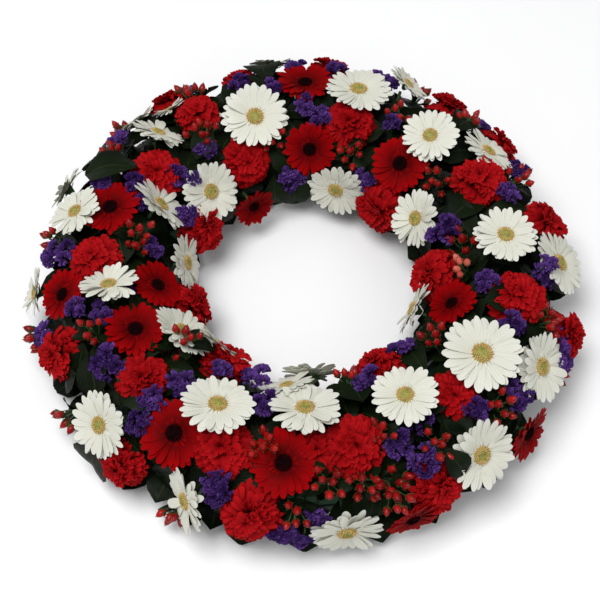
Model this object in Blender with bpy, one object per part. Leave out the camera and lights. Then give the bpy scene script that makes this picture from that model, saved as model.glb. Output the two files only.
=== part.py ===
"""Funeral wreath, lying flat: a foam ring in a moulded tray, planted with cut flowers.

Metres, +Z up. The origin is at the middle of the underside. Places on the wreath are
given by two angles. Clock runs clockwise seen from above, from the far side (+Y).
Section is 0 on the crown of the ring, positive towards the outer side and negative
towards the central hole.
"""
import math

import bmesh
import bpy
from mathutils import Matrix, Vector

# Foam ring and the tray that holds it
RING_RADIUS = 0.192
FOAM_WIDTH = 0.076
FOAM_TOP = 0.048
FOAM_CHAMFER = 0.008
TRAY_WALL = 0.0018
TRAY_FLOOR = 0.0022
TRAY_HEIGHT = 0.016
TOUCH_GAP = 0.0003
RING_SIDES = 32

# Surface that the flower heads follow
BLOOM_HALF_WIDTH = 0.084
BLOOM_WIDEST_Z = 0.038
BLOOM_TOP_Z = 0.110

# Stems
GERBERA_STEM_RADIUS = 0.0024
CARNATION_STEM_RADIUS = 0.0020
SPRIG_STEM_RADIUS = 0.0016
STEM_SIDES = 5
HOLE_SIDES = 4
STEM_IN_FOAM = 0.020
NECK_DEPTH = 0.0150
STEM_STEP = 0.0005
STEM_HOLE_GAP = 0.0005

# Gerbera heads
GERBERA_PETALS = 11
GERBERA_EYE_SIDES = 6
GERBERA_EYE_SHARE = 0.26
GERBERA_EYE_HEIGHT = 0.0035
GERBERA_NOTCH_SHARE = 0.84
GERBERA_RIM_DROP = 0.0010
GERBERA_CALYX_DEPTH = 0.0055

# Carnation heads
CARNATION_FRILLS = 7
CARNATION_DOME_SHARE = 0.56
CARNATION_FRILL_SHARE = 0.86
CARNATION_SKIRT_SHARE = 0.42
CARNATION_TOP_SHARE = 0.34
CARNATION_SHOULDER_SHARE = 0.80
CARNATION_SHOULDER_RISE = 0.36
CARNATION_TIP_RISE = 0.10
CARNATION_NOTCH_DROP = 0.06
CARNATION_UNDER_SHARE = 0.50
CARNATION_UNDER_DROP = 0.30
CARNATION_CALYX_RADIUS = 0.0065
CARNATION_CALYX_LENGTH = 0.0170

# Share of a side that staggers one ring of points against the next
HALF_TURN = 0.5

# Leaves around the foot of the ring
LEAF_THICKNESS = 0.0014
OUTER_LEAVES = 24
OUTER_LEAF_REACH = 0.050
INNER_LEAVES = 14
INNER_LEAF_REACH = 0.040
LEAF_ROOT_TOP = 0.030
LEAF_ROOT_BOTTOM = 0.020
LEAF_TIP_Z = 0.006
SHORT_LEAF_SHARE = 0.88
SHORT_LEAF_TIP_Z = 0.014
LEAF_VALLEY_SHARE = 0.30
LEAF_VALLEY_Z = 0.021
LEAF_MIDDLE_SHARE = 0.55
LEAF_CREASE = 0.0020
LEAF_SIDE_INSET = 0.1

# Bed of leaves packed over the foam, as shares of the bloom surface
BED_LOW_SHARE = 0.52
BED_HIGH_SHARE = 0.76
BED_SECTIONS = (76, 38, 0, -38, -76)
BED_HEAD_MARGIN = 0.013
BED_FOOT_Z = 0.031

# Forked sprigs of statice and of hypericum berries
SPRIG_FORK_DEPTH = 0.028
SPRIG_INNER_SHARE = 0.65
BRANCH_RADIUS = 0.0009
BRANCH_SIDES = 3
LUMP_SIDES = 4
STATICE_DROPS = (0.010, 0.004, 0.014)
STATICE_LUMP_RADIUS = 0.0085
STATICE_LUMP_HEIGHT = 0.013
BERRY_DROPS = (0.009, 0.002, 0.012, 0.004)
BERRY_RADIUS = 0.0042
BERRY_LENGTH = 0.0105
STATICE_LUMP_SHAPE = ((0.45, 1.0), (1.0, 0.72), (0.30, 0.0))
BERRY_SHAPE = ((0.35, 1.0), (1.0, 0.42), (0.45, 0.0))
LUMP_SEAT_SHARE = 0.33

# Planting plan, one row a flower: clock, section, head radius and lift in plan units,
# and the degrees that it leans from the bloom surface, outwards and along the clock.
# A narrower or wider bloom surface takes smaller or larger flowers.
PLAN_UNITS_ACROSS = 84
PLAN_UNIT = BLOOM_HALF_WIDTH / PLAN_UNITS_ACROSS
WHITE_GERBERAS = [
    (342, -16, 36, 4, -8, 0),
    (16, 8, 37, 2, 8, 0),
    (44, -5, 31, 5, -8, 0),
    (57, 24, 31, -2, 16, 0),
    (17, -76, 32, 0, 0, 0),
    (65, -53, 31, 2, 0, 0),
    (86, 3, 33, 2, 0, 0),
    (91, 45, 35, 0, 0, 0),
    (112, -68, 30, 0, -10, 0),
    (126, 6, 40, 6, 0, 0),
    (118, 46, 35, 0, 6, 0),
    (150, -7, 33, 0, 0, 0),
    (142, 53, 36, 2, 0, 0),
    (172, 74, 36, 0, 12, 0),
    (180, -14, 35, 4, -12, 0),
    (205, -4, 36, 4, -16, 0),
    (204, 64, 33, 0, 6, 38),
    (227, 51, 33, 2, 0, 0),
    (234, -36, 33, 0, -12, 0),
    (257, 0, 31, 4, 0, 28),
    (273, -62, 30, 0, -12, 0),
    (311, -50, 33, 0, 0, 0),
    (313, 10, 29, 1, 0, 42),
    (352, 62, 30, 0, 0, 0),
    (265, 70, 27, 0, 0, 0),
    (292, 68, 27, 0, 0, 0),
]
RED_GERBERAS = [
    (0, 16, 32, -6, 0, 0),
    (41, -33, 32, -6, 0, 0),
    (285, 7, 32, -6, 0, 0),
    (260, 37, 28, -6, 0, 0),
    (258, -36, 28, -7, 0, 0),
    (242, -8, 31, -8, 0, 0),
    (212, 24, 34, -8, 0, 0),
    (185, 21, 33, -6, 0, 0),
    (110, -33, 27, -8, -6, 0),
    (129, 78, 30, -2, 0, 0),
]
CARNATIONS = [
    (303, -9, 28, -20, 0, 0),
    (334, -46, 27, -20, 0, 0),
    (64, 4, 28, -16, 0, 0),
    (79, 50, 27, -17, 0, 0),
    (269, 11, 27, -20, 0, 0),
    (248, 60, 26, -17, 0, 0),
    (228, 8, 26, -21, 0, 0),
    (220, 74, 24, -12, 0, 0),
    (191, 66, 29, -16, 0, 0),
    (167, 12, 29, -18, 0, 0),
    (138, 10, 25, -21, 0, 0),
    (103, 15, 28, -18, 0, 0),
    (325, 60, 27, -18, 0, 0),
    (38, 62, 27, -18, 0, 0),
]
STATICE = [
    (154, 42, 10, -4, 0, 0),
    (109, 64, 10, -8, 0, 0),
]
BERRIES = [
    (162, 52, 12, -4, 0, 0),
    (84, -36, 12, -4, 0, 0),
]


def remove_old_objects():
    for old in list(bpy.data.objects):
        bpy.data.objects.remove(old, do_unlink=True)


def make_material(name, colour, roughness):
    material = bpy.data.materials.new(name)
    material.use_nodes = True
    shader = material.node_tree.nodes["Principled BSDF"]
    shader.inputs["Base Color"].default_value = (*colour, 1.0)
    shader.inputs["Roughness"].default_value = roughness
    shader.inputs["Metallic"].default_value = 0.0
    return material


def add_object(name, mesh, material, smooth_angle=35):
    mesh.materials.clear()
    mesh.materials.append(material)
    mesh.shade_smooth()
    mesh.set_sharp_from_angle(angle=math.radians(smooth_angle))
    thing = bpy.data.objects.new(name, mesh)
    bpy.context.scene.collection.objects.link(thing)
    return thing


def mesh_from(vertices, faces, name):
    mesh = bpy.data.meshes.new(name)
    mesh.from_pydata([tuple(v) for v in vertices], [], faces)
    body = bmesh.new()
    body.from_mesh(mesh)
    bmesh.ops.recalc_face_normals(body, faces=body.faces)
    bmesh.ops.triangulate(body, faces=body.faces)
    body.to_mesh(mesh)
    body.free()
    return mesh


def outward(clock, section_angle):
    """Unit vector that leans section_angle radians outwards from straight up."""
    turn = math.radians(clock)
    lean = math.sin(section_angle)
    return Vector((lean * math.sin(turn), lean * math.cos(turn), math.cos(section_angle)))


def bloom_point(clock, section):
    """Point of the bloom surface, and the angle that its normal leans outwards."""
    turn = math.radians(clock)
    angle = math.radians(section)
    rise = BLOOM_TOP_Z - BLOOM_WIDEST_Z
    radius = RING_RADIUS + BLOOM_HALF_WIDTH * math.sin(angle)
    height = BLOOM_WIDEST_Z + rise * math.cos(angle)
    lean = math.atan2(math.sin(angle) * rise, math.cos(angle) * BLOOM_HALF_WIDTH)
    return Vector((radius * math.sin(turn), radius * math.cos(turn), height)), lean


def head_pose(row):
    """Middle of a head, the direction that it faces, and the line of its stem upwards."""
    clock, section, _, lift, lean_out, lean_along = row
    point, lean = bloom_point(clock, section)
    point = point + outward(clock, lean) * lift * PLAN_UNIT
    along_clock = outward(clock + 90, math.pi / 2)
    aside = math.radians(lean_along)
    facing = outward(clock, lean + math.radians(lean_out))
    facing = facing * math.cos(aside) + along_clock * math.sin(aside)
    return point, facing, outward(clock, lean)


def in_foam(point):
    radius = math.hypot(point.x, point.y)
    return abs(radius - RING_RADIUS) < FOAM_WIDTH / 2 and point.z < FOAM_TOP


def stem_length(neck, upwards):
    """Length from the neck below a head to the cut end of its stem in the foam."""
    length = STEM_STEP
    while not in_foam(neck - upwards * length):
        length += STEM_STEP
        if length > 2 * BLOOM_TOP_Z:
            raise ValueError("a stem misses the foam")
    return length + STEM_IN_FOAM


def ring(sides, radius, height, phase=0.0):
    points = []
    for i in range(sides):
        angle = 2 * math.pi * (i + phase) / sides
        points.append(Vector((radius * math.cos(angle), radius * math.sin(angle), height)))
    return points


def loft(rings, name):
    """Closed solid through rings of points, each counted in whole shares of the next."""
    vertices = []
    starts = []
    for points in rings:
        starts.append(len(vertices))
        vertices.extend(points)
    faces = [list(range(len(rings[0])))]
    for upper, lower in zip(range(len(rings)), range(1, len(rings))):
        faces.extend(band(starts[upper], len(rings[upper]), starts[lower], len(rings[lower])))
    faces.append([starts[-1] + i for i in reversed(range(len(rings[-1])))])
    return mesh_from(vertices, faces, name)


def band(first, first_count, second, second_count):
    """Triangles between two rings that may have different numbers of points."""
    faces = []
    i = 0
    j = 0
    while i < first_count or j < second_count:
        a = first + i % first_count
        b = second + j % second_count
        if i * second_count <= j * first_count and i < first_count:
            faces.append([a, b, first + (i + 1) % first_count])
            i += 1
        else:
            faces.append([a, b, second + (j + 1) % second_count])
            j += 1
    return faces


def stem_rings(depth, foot, radius):
    """Ends of a stem, from a depth below the head's middle to its foot."""
    upright = Vector((0.0, 0.0, 1.0))
    bend = upright.rotation_difference(Vector((0.0, 0.0, -depth)) - foot)
    end = [bend @ point + foot for point in ring(STEM_SIDES, radius, 0.0)]
    return [ring(STEM_SIDES, radius, -depth), end]


def gerbera_mesh(radius, foot, name):
    rim = []
    for i in range(2 * GERBERA_PETALS):
        share = 1.0 if i % 2 == 0 else GERBERA_NOTCH_SHARE
        angle = math.pi * i / GERBERA_PETALS
        rim.append(Vector((radius * share * math.cos(angle), radius * share * math.sin(angle),
                           -GERBERA_RIM_DROP)))
    eye = radius * GERBERA_EYE_SHARE
    rings = [
        ring(GERBERA_EYE_SIDES, eye, GERBERA_EYE_HEIGHT),
        rim,
        ring(GERBERA_EYE_SIDES, eye, -GERBERA_CALYX_DEPTH),
    ]
    rings += stem_rings(NECK_DEPTH, foot, GERBERA_STEM_RADIUS)
    return loft(rings, name)


def carnation_mesh(radius, foot, name):
    frill = []
    for i in range(2 * CARNATION_FRILLS):
        share = 1.0 if i % 2 == 0 else CARNATION_FRILL_SHARE
        height = CARNATION_TIP_RISE if i % 2 == 0 else -CARNATION_NOTCH_DROP
        angle = math.pi * i / CARNATION_FRILLS
        frill.append(Vector((radius * share * math.cos(angle), radius * share * math.sin(angle),
                             radius * height)))
    skirt = radius * CARNATION_SKIRT_SHARE
    neck = skirt + CARNATION_CALYX_LENGTH
    rings = [
        ring(CARNATION_FRILLS, radius * CARNATION_TOP_SHARE, radius * CARNATION_DOME_SHARE),
        ring(CARNATION_FRILLS, radius * CARNATION_SHOULDER_SHARE,
             radius * CARNATION_SHOULDER_RISE, HALF_TURN),
        frill,
        ring(CARNATION_FRILLS, radius * CARNATION_UNDER_SHARE, -radius * CARNATION_UNDER_DROP),
        ring(STEM_SIDES, CARNATION_CALYX_RADIUS, -skirt),
    ]
    rings += stem_rings(neck, foot, CARNATION_STEM_RADIUS)
    return loft(rings, name)


def turned_to(facing):
    return facing.to_track_quat("Z", "Y")


def place(mesh, point, facing):
    mesh.transform(Matrix.Translation(point) @ turned_to(facing).to_matrix().to_4x4())


def plant(rows, prefix, make_head, stem_radius, collar, material, holes):
    for number, row in enumerate(rows, start=1):
        name = f"{prefix}_{number:02d}"
        point, facing, upwards = head_pose(row)
        neck = point - facing * NECK_DEPTH
        length = stem_length(neck, upwards)
        foot = neck - upwards * length - point
        foot.rotate(turned_to(facing).inverted())
        mesh = make_head(row[2] * PLAN_UNIT, foot, name)
        place(mesh, point, facing)
        add_object(name, mesh, material)
        holes.append((neck, upwards, length, stem_radius, collar))


def turned_ring(profile, name):
    """Ring turned about Z from a profile of (radius, height) points, outer side downwards."""
    count = len(profile)
    vertices = []
    for i in range(RING_SIDES):
        angle = 2 * math.pi * i / RING_SIDES
        for radius, height in profile:
            vertices.append((radius * math.cos(angle), radius * math.sin(angle), height))
    faces = []
    for i in range(RING_SIDES):
        here = i * count
        there = (i + 1) % RING_SIDES * count
        for j in range(count):
            k = (j + 1) % count
            faces.append([here + j, here + k, there + k, there + j])
    return mesh_from(vertices, faces, name)


def tray(material):
    inner = RING_RADIUS - FOAM_WIDTH / 2 - TOUCH_GAP
    outer = RING_RADIUS + FOAM_WIDTH / 2 + TOUCH_GAP
    profile = [
        (outer + TRAY_WALL, TRAY_HEIGHT),
        (outer + TRAY_WALL, 0.0),
        (inner - TRAY_WALL, 0.0),
        (inner - TRAY_WALL, TRAY_HEIGHT),
        (inner, TRAY_HEIGHT),
        (inner, TRAY_FLOOR),
        (outer, TRAY_FLOOR),
        (outer, TRAY_HEIGHT),
    ]
    add_object("base_tray", turned_ring(profile, "base_tray"), material)


def cut(mesh, cutters, name):
    """Mesh less all the cutter meshes, by one exact Boolean."""
    body = bpy.data.objects.new(name, mesh)
    joined = bmesh.new()
    for cutter in cutters:
        joined.from_mesh(cutter)
    tool_mesh = bpy.data.meshes.new("cutters")
    joined.to_mesh(tool_mesh)
    joined.free()
    tool = bpy.data.objects.new("cutters", tool_mesh)
    for thing in (body, tool):
        bpy.context.scene.collection.objects.link(thing)
    modifier = body.modifiers.new("holes", "BOOLEAN")
    modifier.object = tool
    modifier.operation = "DIFFERENCE"
    modifier.solver = "EXACT"
    modifier.use_self = True
    bpy.context.view_layer.update()
    graph = bpy.context.evaluated_depsgraph_get()
    result = bpy.data.meshes.new_from_object(body.evaluated_get(graph))
    for thing in (body, tool):
        bpy.data.objects.remove(thing, do_unlink=True)
    return result


def stem_cutters(holes, clear):
    """Cutters for the stems, from inside the foam to clear the bloom surface."""
    cutters = []
    for neck, upwards, length, radius, collar in holes:
        wide = (collar if clear else radius) + STEM_HOLE_GAP
        start = NECK_DEPTH if clear else FOAM_CHAMFER - length + STEM_IN_FOAM
        corner = wide / flat_share(HOLE_SIDES)
        rings = [ring(HOLE_SIDES, corner, start), ring(HOLE_SIDES, corner, -length - STEM_HOLE_GAP)]
        cutter = loft(rings, "hole")
        place(cutter, neck, upwards)
        cutters.append(cutter)
    return cutters


def foam(material, holes):
    inner = RING_RADIUS - FOAM_WIDTH / 2
    outer = RING_RADIUS + FOAM_WIDTH / 2
    bottom = TRAY_FLOOR + TOUCH_GAP
    profile = [
        (outer - FOAM_CHAMFER, FOAM_TOP),
        (outer, FOAM_TOP - FOAM_CHAMFER),
        (outer, bottom),
        (inner, bottom),
        (inner, FOAM_TOP - FOAM_CHAMFER),
        (inner + FOAM_CHAMFER, FOAM_TOP),
    ]
    mesh = cut(turned_ring(profile, "foam_ring"), stem_cutters(holes, False), "foam_ring")
    add_object("foam_ring", mesh, material)


def leaf_bed(heads):
    """Leaves packed over the foam, risen where no head is near."""
    half = FOAM_WIDTH / 2 + TOUCH_GAP
    shoulder = FOAM_TOP - FOAM_CHAMFER + TOUCH_GAP / 2
    under = [
        (RING_RADIUS - half, BED_FOOT_Z),
        (RING_RADIUS - half, shoulder),
        (RING_RADIUS - half + FOAM_CHAMFER, FOAM_TOP + TOUCH_GAP),
        (RING_RADIUS + half - FOAM_CHAMFER, FOAM_TOP + TOUCH_GAP),
        (RING_RADIUS + half, shoulder),
        (RING_RADIUS + half, BED_FOOT_Z),
    ]
    rise = BLOOM_TOP_Z - BLOOM_WIDEST_Z
    vertices = []
    for i in range(RING_SIDES):
        angle = 2 * math.pi * i / RING_SIDES
        around = Vector((math.cos(angle), math.sin(angle), 0.0))
        foot_out = BLOOM_HALF_WIDTH * BED_LOW_SHARE
        vertices.append(around * (RING_RADIUS + foot_out) + Vector((0, 0, BED_FOOT_Z)))
        for section in BED_SECTIONS:
            lean = math.radians(section)
            for share in (BED_HIGH_SHARE, BED_LOW_SHARE):
                radius = RING_RADIUS + BLOOM_HALF_WIDTH * share * math.sin(lean)
                spot = around * radius
                spot.z = BLOOM_WIDEST_Z + rise * share * math.cos(lean)
                if all((spot - head).length > size + BED_HEAD_MARGIN for head, size in heads):
                    break
            vertices.append(spot)
        vertices.append(around * (RING_RADIUS - foot_out) + Vector((0, 0, BED_FOOT_Z)))
        for radius, height in under:
            vertices.append(around * radius + Vector((0, 0, height)))
    count = len(vertices) // RING_SIDES
    faces = []
    for i in range(RING_SIDES):
        here = i * count
        there = (i + 1) % RING_SIDES * count
        for j in range(count):
            k = (j + 1) % count
            faces.append([here + j, here + k, there + k, there + j])
    return mesh_from(vertices, faces, "leaf_bed")


def foliage(material, holes, heads):
    """Leaf bed with the leaves that stand out at its outer and inner foot."""
    outer = (RING_RADIUS + FOAM_WIDTH / 2 + TOUCH_GAP) / flat_share(2 * OUTER_LEAVES)
    inner = (RING_RADIUS - FOAM_WIDTH / 2) * flat_share(RING_SIDES) - TOUCH_GAP
    add_object("outer_leaves", leaf_ring("outer_leaves", OUTER_LEAVES, outer, OUTER_LEAF_REACH),
               material)
    add_object("inner_leaves", leaf_ring("inner_leaves", INNER_LEAVES, inner, -INNER_LEAF_REACH),
               material)
    mesh = cut(leaf_bed(heads), stem_cutters(holes, True), "leaf_bed")
    add_object("leaf_bed", mesh, material)


def flat_share(sides):
    """Radius at the middle of a side, as a share of the radius at the corners."""
    return math.cos(math.pi / sides)


def leaf_ring(name, count, root_radius, reach):
    """Ring of pointed leaves joined at their roots; reach is negative towards the hole."""
    vertices = []
    faces = []
    per_leaf = 10
    for i in range(count):
        length = reach if i % 2 == 0 else reach * SHORT_LEAF_SHARE
        tip_z = LEAF_TIP_Z if i % 2 == 0 else SHORT_LEAF_TIP_Z

        def spot(share, side, height):
            angle = 2 * math.pi * (i + side) / count
            radius = root_radius + length * share
            return (radius * math.sin(angle), radius * math.cos(angle), height)

        def slope(share):
            return LEAF_ROOT_TOP + (tip_z - LEAF_ROOT_TOP) * share

        valley = LEAF_VALLEY_SHARE * reach / length
        middle_z = slope(LEAF_MIDDLE_SHARE) - LEAF_CREASE
        vertices += [
            spot(0.0, 0.0, LEAF_ROOT_TOP),
            spot(0.0, 0.5, LEAF_ROOT_TOP),
            spot(0.0, 0.0, LEAF_ROOT_BOTTOM),
            spot(0.0, 0.5, LEAF_ROOT_BOTTOM),
            spot(valley, 0.0, LEAF_VALLEY_Z),
            spot(LEAF_MIDDLE_SHARE, LEAF_SIDE_INSET, slope(LEAF_MIDDLE_SHARE)),
            spot(1.0, 0.5, tip_z),
            spot(LEAF_MIDDLE_SHARE, 1.0 - LEAF_SIDE_INSET, slope(LEAF_MIDDLE_SHARE)),
            spot(LEAF_MIDDLE_SHARE, 0.5, middle_z),
            spot(LEAF_MIDDLE_SHARE, 0.5, middle_z - LEAF_THICKNESS),
        ]
        here = i * per_leaf
        then = (i + 1) % count * per_leaf
        for root, root_middle, root_next, middle in (
                (here, here + 1, then, here + 8),
                (here + 2, here + 3, then + 2, here + 9)):
            faces += [
                [root, here + 4, here + 5, middle, root_middle],
                [here + 5, here + 6, middle],
                [here + 6, here + 7, middle],
                [root_middle, middle, here + 7, then + 4, root_next],
            ]
        faces += [
            [here, here + 1, here + 3, here + 2],
            [here + 1, then, then + 2, here + 3],
        ]
    return mesh_from(vertices, faces, name)


def joined(pieces, name):
    """One closed solid from meshes that run into each other."""
    body = bpy.data.objects.new(name, pieces[0])
    bpy.context.scene.collection.objects.link(body)
    tools = []
    for piece in pieces[1:]:
        tool = bpy.data.objects.new("tool", piece)
        bpy.context.scene.collection.objects.link(tool)
        tools.append(tool)
        modifier = body.modifiers.new("join", "BOOLEAN")
        modifier.object = tool
        modifier.operation = "UNION"
        modifier.solver = "EXACT"
    bpy.context.view_layer.update()
    graph = bpy.context.evaluated_depsgraph_get()
    result = bpy.data.meshes.new_from_object(body.evaluated_get(graph))
    for thing in [body] + tools:
        bpy.data.objects.remove(thing, do_unlink=True)
    return result


def rod(start, end, radius, sides, name):
    """Straight bar with flat ends from one point to another."""
    along = end - start
    mesh = loft([ring(sides, radius, along.length), ring(sides, radius, 0.0)], name)
    place(mesh, start, along.normalized())
    return mesh


def lump(middle, facing, radius, length, shares, name):
    """Small blunt solid along a direction, from rings of (radius, height) shares."""
    rings = [ring(LUMP_SIDES, radius * wide, length * (high - 0.5)) for wide, high in shares]
    mesh = loft(rings, name)
    place(mesh, middle, facing)
    return mesh


def sprig_mesh(foot, name, spread, drops, radius, height, shares):
    """Stem that forks below its top into branches, each with a lump on its end."""
    fork = Vector((0.0, 0.0, -SPRIG_FORK_DEPTH))
    pieces = [rod(foot, fork, SPRIG_STEM_RADIUS, STEM_SIDES, name)]
    for i, drop in enumerate(drops):
        angle = 2 * math.pi * i / len(drops)
        away = spread if i % 2 == 0 else spread * SPRIG_INNER_SHARE
        end = Vector((away * math.cos(angle), away * math.sin(angle), -drop))
        start = fork - Vector((0.0, 0.0, SPRIG_STEM_RADIUS))
        facing = (end - start).normalized()
        pieces.append(rod(start, end, BRANCH_RADIUS, BRANCH_SIDES, "branch"))
        pieces.append(lump(end + facing * height * LUMP_SEAT_SHARE, facing, radius, height, shares, "lump"))
    return joined(pieces, name)


def statice_mesh(radius, foot, name):
    return sprig_mesh(foot, name, radius, STATICE_DROPS, STATICE_LUMP_RADIUS,
                      STATICE_LUMP_HEIGHT, STATICE_LUMP_SHAPE)


def berry_mesh(radius, foot, name):
    return sprig_mesh(foot, name, radius, BERRY_DROPS, BERRY_RADIUS, BERRY_LENGTH, BERRY_SHAPE)


def build():
    remove_old_objects()
    white = make_material("white_petals", (0.86, 0.86, 0.80), 0.55)
    red = make_material("scarlet_petals", (0.62, 0.01, 0.01), 0.55)
    crimson = make_material("carnation_petals", (0.60, 0.01, 0.012), 0.65)
    green = make_material("leaves", (0.02, 0.07, 0.02), 0.45)
    violet = make_material("statice_florets", (0.10, 0.04, 0.30), 0.7)
    berry_red = make_material("berries", (0.55, 0.02, 0.02), 0.25)
    foam_green = make_material("wet_foam", (0.03, 0.10, 0.05), 0.9)
    black = make_material("moulded_tray", (0.02, 0.05, 0.03), 0.5)
    holes = []
    stem = GERBERA_STEM_RADIUS
    plant(WHITE_GERBERAS, "white_gerbera", gerbera_mesh, stem, stem, white, holes)
    plant(RED_GERBERAS, "red_gerbera", gerbera_mesh, stem, stem, red, holes)
    plant(CARNATIONS, "carnation", carnation_mesh, CARNATION_STEM_RADIUS,
          CARNATION_CALYX_RADIUS, crimson, holes)
    plant(STATICE, "statice", statice_mesh, SPRIG_STEM_RADIUS, SPRIG_STEM_RADIUS, violet, holes)
    plant(BERRIES, "hypericum", berry_mesh, SPRIG_STEM_RADIUS, SPRIG_STEM_RADIUS,
          berry_red, holes)
    heads = [(head_pose(row)[0], row[2] * PLAN_UNIT)
             for row in WHITE_GERBERAS + RED_GERBERAS + CARNATIONS + STATICE + BERRIES]
    foam(foam_green, holes)
    foliage(green, holes, heads)
    tray(black)


build()
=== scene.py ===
import math
import random

import bmesh
import bpy
import numpy as np
from mathutils import Matrix, Vector


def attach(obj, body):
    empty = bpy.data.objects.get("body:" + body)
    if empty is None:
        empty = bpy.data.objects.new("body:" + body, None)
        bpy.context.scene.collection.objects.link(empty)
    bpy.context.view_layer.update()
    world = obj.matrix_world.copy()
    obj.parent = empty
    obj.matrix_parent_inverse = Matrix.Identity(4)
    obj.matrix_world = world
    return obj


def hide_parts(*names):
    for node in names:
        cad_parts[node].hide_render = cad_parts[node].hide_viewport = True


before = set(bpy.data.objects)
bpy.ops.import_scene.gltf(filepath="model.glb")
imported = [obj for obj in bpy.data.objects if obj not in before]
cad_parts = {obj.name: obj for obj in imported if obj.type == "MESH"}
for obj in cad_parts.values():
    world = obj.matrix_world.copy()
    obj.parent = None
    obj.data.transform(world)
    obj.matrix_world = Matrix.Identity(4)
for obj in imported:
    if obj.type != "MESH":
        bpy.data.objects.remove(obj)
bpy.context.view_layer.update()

# Photograph: view and framing
IMAGE_SIZE = 600
VIEW_ELEVATION = math.radians(60.5)
VIEW_DISTANCE = 1.25
PIXELS_PER_METRE = 950
ORIGIN_PIXEL = (305, 303)
LIT_POINT = (0.0, 0.0, 0.05)

# Surface that the flower heads follow, as half width and heights of its section
BLOOM_HALF_WIDTH = 0.084
BLOOM_WIDEST_Z = 0.038
BLOOM_TOP_Z = 0.110

# Heads: outer radius that each model flower is made at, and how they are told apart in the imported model
GERBERA_RADIUS = 0.035
CARNATION_RADIUS = 0.027
PETAL_THICKNESS = 0.00045
SMALL_PETAL_THICKNESS = 0.0003
HEAD_SPAN = 0.042
HEAD_DEPTH = 0.008
RIM_SHARE = 0.97
FOOT_POINTS = 5
TOP_POINTS = 12

# Stems
NECK_DEPTH = 0.012
GERBERA_STEM = 0.0022
CARNATION_STEM = 0.0018
SPRIG_STEM = 0.0013
TWIG = 0.0008
LONGEST_STEM = 0.13
FOAM_STEP = 0.001
STEM_IN_FOAM = 0.004

# Petal rings: unevenness of place, length and width of each petal
PLACE_JITTER = 0.22
PETAL_LENGTHS = (0.88, 1.02)
PETAL_BREADTHS = (0.88, 1.10)

# Gerbera rings: petals, root radius, height, added rise, size and turn of the ring
GERBERA_RINGS = ((24, 0.0068, -0.0008, 0, 1.0, 0), (20, 0.0064, -0.0001, 1, 0.93, 9))
GERBERA_CURLS = ((7, 2, -2, -4, -5, -5), (4, 2, -1, -2, -2, 0), (9, 3, -4, -6, -6, -4), (5, 3, 1, 0, -2, 2))
GERBERA_WIDTHS = (0.0034, 0.0060, 0.0075, 0.0083, 0.0083, 0.0074, 0.0044)
GERBERA_PETAL_LENGTH = GERBERA_RADIUS - 0.0070
SMALL_WIDTHS = (0.0014, 0.0026, 0.0026, 0.0012)
SMALL_LENGTH = 0.0085
# Model heads: rise of the petals and how loose they stand, in degrees; the last two whites are loose
WHITE_MODELS = ((0, 2.5), (1, 3.5), (-2, 9), (3, 11))
RED_MODELS = ((0, 3), (4, 5))
EYE_CONES = 80
EYE_FLATNESS = 0.40
BRACTS = 11

# Carnation layers: petals, root radius, height, rise and size
CARNATION_LAYERS = (
    (9, 0.0015, -0.0035, -6, 1.00), (8, 0.0012, -0.0015, 8, 1.00), (8, 0.0012, 0.0000, 24, 0.96),
    (7, 0.0010, 0.0005, 41, 0.90), (6, 0.0008, 0.0010, 58, 0.82), (4, 0.0006, 0.0015, 74, 0.74))
FAN_WIDTHS = (0.0040, 0.0105, 0.0170, 0.0225, 0.0250)
FAN_LENGTH = 0.0255
FAN_CURLS = ((6, -4, -14, -24), (2, 0, -8, -10), (10, -8, -20, -34))

# Statice patches and berries
STATICE_FLORETS = 100
STATICE_COMBS = 4
COMB_RADIUS = 0.0052
COMB_RISE = 0.0046
BERRY_RADIUS = 0.0037
BERRY_STRETCH = 1.42
SPRAY_FORK = Vector((0.0, 0.0, -0.026))
SPRAY_LEAVES = 3
SPRAY_LEAF_SIZE = 0.34

# Leaves
LEAF_LENGTH = 0.070
LEAF_WIDTH = 0.034
LEAF_THICKNESS = 0.0005
LEAF_SHAPES = (
    ((0.10, 0.52, 0.88, 1.00, 0.92, 0.66, 0.06), (8, 2, -4, -8, -10, -12)),
    ((0.12, 0.62, 0.96, 1.00, 0.84, 0.52, 0.04), (-4, -3, -2, 2, 4, 6)),
    ((0.10, 0.40, 0.72, 0.96, 1.00, 0.80, 0.10), (14, 0, -8, -14, -12, -8)))
BED_LEAVES = 230
BED_SECTION = 78
FOOT_LEAVES = 26
HOLE_LEAVES = 16
LEAF_SECTORS = 12
SHOWN_SHARE = 0.94

# Room between the heads and what stands beside or below them
HEAD_REACH = 0.025
RIM_OVERLAP = 0.010
BELOW_HEAD = 0.016
BLADE_GAP = 0.010
SPRIG_SINK = 0.006
STATICE_ROOM = 0.003
BERRY_ROOM = 0.011
OVER_HEADS = 10
SUNK_LEAF = 3

SMOOTH_ANGLE = math.radians(50)
GOLDEN_ANGLE = math.radians(137.508)
GOLDEN_SHARE = 0.381966
FULL_TURN = 2 * math.pi
ORIGIN = (0.0, 0.0, 0.0)

chance = random.Random(11)


class Socket:
    """Output of a shader node that can be used in Python sums."""

    def __init__(self, finish, link):
        self.finish = finish
        self.link = link

    def math(self, operation, first, second=0.0):
        return self.finish.node("ShaderNodeMath", {"operation": operation}, {0: first, 1: second})

    def __add__(self, other):
        return self.math("ADD", self, other)

    def __radd__(self, other):
        return self.math("ADD", other, self)

    def __sub__(self, other):
        return self.math("SUBTRACT", self, other)

    def __rsub__(self, other):
        return self.math("SUBTRACT", other, self)

    def __mul__(self, other):
        return self.math("MULTIPLY", self, other)

    def __rmul__(self, other):
        return self.math("MULTIPLY", other, self)

    def __abs__(self):
        return self.math("ABSOLUTE", self)

    def sine(self):
        return self.math("SINE", self)

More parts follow.
